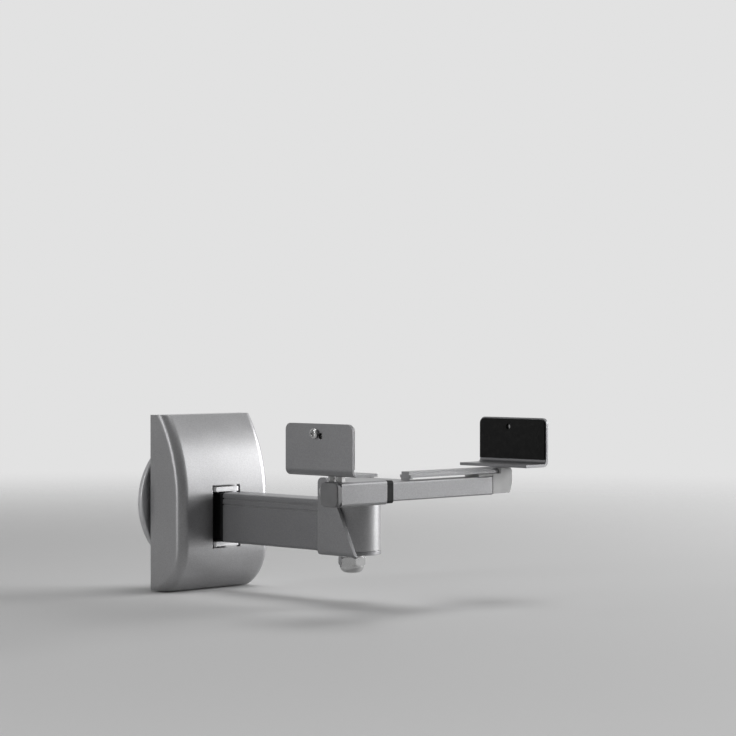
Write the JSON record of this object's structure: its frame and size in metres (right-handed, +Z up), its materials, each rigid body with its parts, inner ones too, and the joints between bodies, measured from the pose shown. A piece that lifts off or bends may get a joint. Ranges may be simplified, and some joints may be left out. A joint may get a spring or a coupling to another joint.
{
  "type": "speaker wall bracket",
  "caption": "Wall bracket with a bowed cover, a square swivelling arm, a tilting yoke and a telescopic bar whose lined jaws clamp the sides of a small cabinet.",
  "frame": {"origin": "centre of the round wall plate on its back face, in the wall plane", "axes": "+Y into the wall, -Y along the arm into the room, +Z up, +X to the right when facing the wall"},
  "size_m": [0.1983, 0.268, 0.129],
  "materials": {
    "cover_paint": "satin silver-grey paint",
    "arm_paint": "satin grey paint",
    "head_paint": "satin silver-grey paint",
    "bar_paint": "satin silver-grey paint",
    "jaw_paint": "satin grey paint",
    "plate_steel": "zinc-plated sheet",
    "black_plastic": "fine-grained black",
    "grey_plastic": "fine-grained light grey",
    "cap_plastic": "fine-grained mid grey",
    "pad_rubber": "matt black sheet",
    "zinc": "bright zinc plating",
    "chrome": "polished"
  },
  "bodies": {
    "wall": {"wall_plate": "plate_steel", "wall_cover": "cover_paint", "cover_screws": "zinc", "root_bracket": "plate_steel", "bracket_screws": "zinc", "pivot_bolt": "zinc", "pivot_nut": "zinc"},
    "arm": {"pivot_washers": "black_plastic", "arm_knuckle": "black_plastic", "arm_tube": "arm_paint", "arm_rivets": "zinc", "swivel_barrel": "cover_paint"},
    "head": {"yoke": "head_paint", "swivel_bolt": "zinc", "swivel_washer": "zinc", "swivel_cap_nut": "chrome", "swivel_lock_nut": "zinc", "tilt_bolt": "zinc", "tilt_nut": "zinc"},
    "clamp": {"tilt_cradle": "head_paint", "cradle_screws": "zinc", "bar_tube": "bar_paint", "end_block": "grey_plastic", "rail_lock_screw": "zinc"},
    "left_clamp": {"bar_sleeve": "bar_paint", "sleeve_collar": "black_plastic", "sleeve_cap": "cap_plastic", "sleeve_lock_screw": "zinc", "left_jaw": "jaw_paint", "left_pad": "pad_rubber", "left_jaw_studs": "zinc", "left_jaw_nuts": "zinc", "left_grip_screw": "chrome"},
    "right_clamp": {"slide_rail": "bar_paint", "right_jaw": "jaw_paint", "right_pad": "pad_rubber", "right_jaw_rivets": "zinc", "right_grip_screw": "chrome"}
  },
  "joints": [
    {"name": "wall_swivel", "type": "hinge", "parent": "wall", "child": "arm", "pos_m": [0, -0.025, 0], "axis": [0, 0, 1], "range_deg": [-20, 20]},
    {"name": "head_swivel", "type": "hinge", "parent": "arm", "child": "head", "pos_m": [0, -0.1725, 0], "axis": [0, 0, 1], "range_deg": [-25, 25]},
    {"name": "head_tilt", "type": "hinge", "parent": "head", "child": "clamp", "pos_m": [0, -0.1695, 0.014], "axis": [1, 0, 0], "range_deg": [-12, 12]},
    {"name": "left_slide", "type": "slide", "parent": "clamp", "child": "left_clamp", "axis": [1, 0, 0], "range_m": [-0.02, 0.008]},
    {"name": "right_slide", "type": "slide", "parent": "clamp", "child": "right_clamp", "axis": [1, 0, 0], "range_m": [-0.008, 0.02]}
  ]
}
